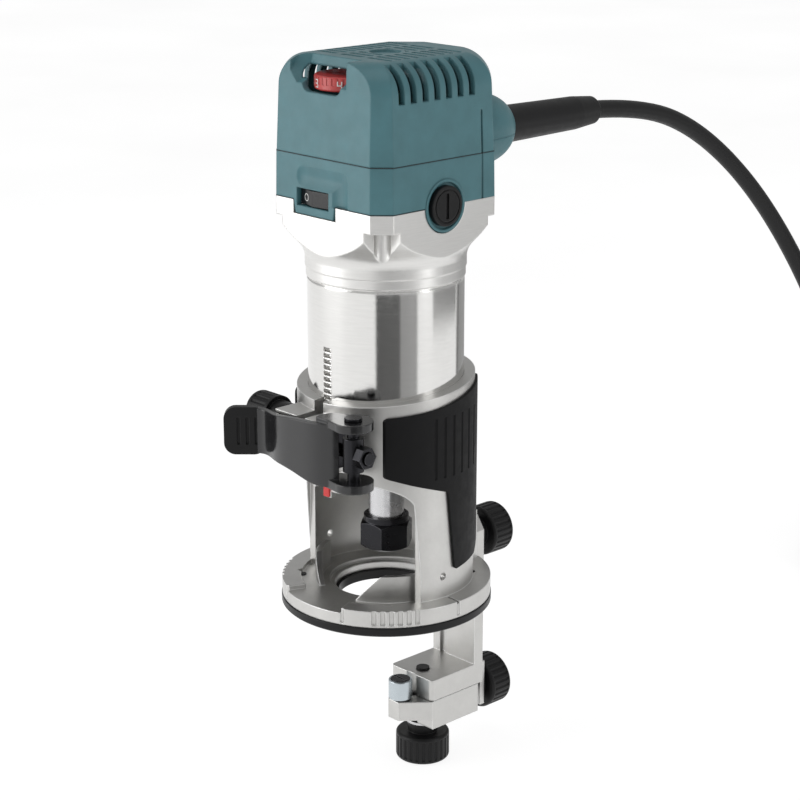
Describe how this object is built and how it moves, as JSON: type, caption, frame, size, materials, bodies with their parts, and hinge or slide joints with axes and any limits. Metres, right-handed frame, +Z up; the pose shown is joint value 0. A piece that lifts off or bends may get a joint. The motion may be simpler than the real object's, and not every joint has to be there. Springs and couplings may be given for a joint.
{
  "type": "trim router",
  "caption": "Upright trim router: cylindrical motor with square head clamped by a cam lever in a round height-adjusting base, with a hanging roller guide and a corded plug.",
  "frame": {"origin": "centre of the sole's lower face, on the spindle's axis", "axes": "+Z up along the spindle towards the motor head, -Y towards the switch, rack and clamp lever, +Y towards the cord and the guide, +X towards the brush cap seen in the picture"},
  "size_m": [0.1185, 0.5156, 0.3161],
  "materials": {
    "motor_aluminium": "satin, turned cylinder",
    "base_aluminium": "satin casting",
    "teal_plastic": "satin moulding",
    "black_plastic": "matte",
    "gloss_black_plastic": "glossy",
    "red_plastic": "gloss",
    "sole_plastic": "satin",
    "grip_rubber": "matte",
    "cord_rubber": "satin",
    "steel": "brushed",
    "dark_steel": "blackened",
    "zinc": "zinc plated",
    "lever_black": "glossy",
    "iron_laminate": "laminated",
    "copper": "enamelled wire",
    "commutator_copper": "turned",
    "brass": "drawn",
    "carbon": "matte",
    "fan_plastic": "matte",
    "board_green": "matte",
    "signal_red": "printed"
  },
  "bodies": {
    "base": {"base_casting": "base_aluminium", "base_plate": "sole_plastic", "base_plate_screws": "dark_steel", "grip_right": "grip_rubber", "grip_left": "grip_rubber", "index_mark": "signal_red", "clamp_bolt": "dark_steel", "clamp_nut": "dark_steel", "lever_pin": "dark_steel", "clamp_washer": "dark_steel"},
    "lever": {"clamp_lever": "lever_black", "lever_grip": "black_plastic"},
    "height_drive": {"height_pinion": "steel", "height_knob": "black_plastic"},
    "motor": {"motor_housing": "motor_aluminium", "motor_collar": "teal_plastic", "top_cover": "teal_plastic", "housing_screws": "dark_steel", "switch_body": "black_plastic", "speed_controller": "board_green", "brush_holders": "brass", "carbon_brushes": "carbon", "brush_springs": "steel", "brush_caps": "black_plastic", "stator_core": "iron_laminate", "stator_coils": "copper", "lower_bearing": "steel", "upper_bearing": "steel", "bearing_boot": "grip_rubber", "bearing_retainer": "steel", "retainer_screws": "steel", "cord_guard": "cord_rubber", "cord_clamp": "black_plastic", "power_cord": "cord_rubber", "cord_coil": "cord_rubber", "cord_tie": "black_plastic", "plug": "cord_rubber", "plug_pins": "brass"},
    "armature": {"spindle": "steel", "armature_core": "iron_laminate", "armature_windings": "copper", "commutator": "commutator_copper", "fan": "fan_plastic", "collet": "steel"},
    "nut": {"collet_nut": "dark_steel"},
    "dial": {"speed_dial": "red_plastic"},
    "rocker": {"switch_rocker": "gloss_black_plastic"},
    "guide": {"guide_bracket": "base_aluminium"},
    "guide_clamp": {"guide_clamp_knob": "black_plastic", "clamp_knob_washer": "steel"},
    "feed": {"guide_feed_knob": "black_plastic"},
    "holder": {"guide_holder": "base_aluminium", "roller_screw": "dark_steel"},
    "roller": {"guide_roller": "zinc"},
    "slide_lock": {"slide_clamp_knob": "black_plastic", "slide_clamp_washer": "steel"}
  },
  "joints": [
    {"name": "motor_slide", "type": "slide", "parent": "base", "child": "motor", "axis": [0, 0, 1], "range_m": [-0.03, 0.01]},
    {"name": "height_turn", "type": "hinge", "parent": "base", "child": "height_drive", "pos_m": [0, -0.0357, 0.0835], "axis": [1, 0, 0], "range_deg": [-432, 145]},
    {"name": "lever_turn", "type": "hinge", "parent": "base", "child": "lever", "pos_m": [0.0275, -0.0434, 0.081], "axis": [0, 0, 1], "range_deg": [0, 80]},
    {"name": "spindle_spin", "type": "hinge", "parent": "motor", "child": "armature", "pos_m": [0, 0, 0.12], "axis": [0, 0, 1], "continuous": true},
    {"name": "collet_nut_turn", "type": "hinge", "parent": "armature", "child": "nut", "pos_m": [0, 0, 0.03], "axis": [0, 0, 1], "range_deg": [-720, 0]},
    {"name": "dial_turn", "type": "hinge", "parent": "motor", "child": "dial", "pos_m": [-0.0015, -0.018, 0.225], "axis": [0, 0, 1], "range_deg": [-150, 150]},
    {"name": "rocker_press", "type": "hinge", "parent": "motor", "child": "rocker", "pos_m": [-0.0057, -0.0316, 0.1777], "axis": [0, 0, 1], "range_deg": [0, 8]},
    {"name": "guide_height", "type": "slide", "parent": "base", "child": "guide", "axis": [0, 0, 1], "range_m": [-0.003, 0.03]},
    {"name": "guide_clamp_turn", "type": "hinge", "parent": "base", "child": "guide_clamp", "pos_m": [0, 0.055, 0.0155], "axis": [0, 1, 0], "range_deg": [0, 720]},
    {"name": "feed_turn", "type": "hinge", "parent": "guide", "child": "feed", "pos_m": [0, 0.055, -0.058], "axis": [0, 1, 0], "range_deg": [-2885, 725]},
    {"name": "holder_feed", "type": "slide", "parent": "guide", "child": "holder", "axis": [0, 1, 0], "range_m": [-0.008, 0.002]},
    {"name": "roller_spin", "type": "hinge", "parent": "holder", "child": "roller", "pos_m": [0, 0.0083, -0.046], "axis": [0, 0, 1], "continuous": true},
    {"name": "slide_lock_turn", "type": "hinge", "parent": "guide", "child": "slide_lock", "pos_m": [0, 0.022, -0.065], "axis": [0, 0, 1], "range_deg": [-720, 0]}
  ],
  "couplings": [
    {"joint": "height_turn", "follows": "motor_slide", "rad_per_m": 250},
    {"joint": "feed_turn", "follows": "holder_feed", "rad_per_m": 6283.2}
  ]
}
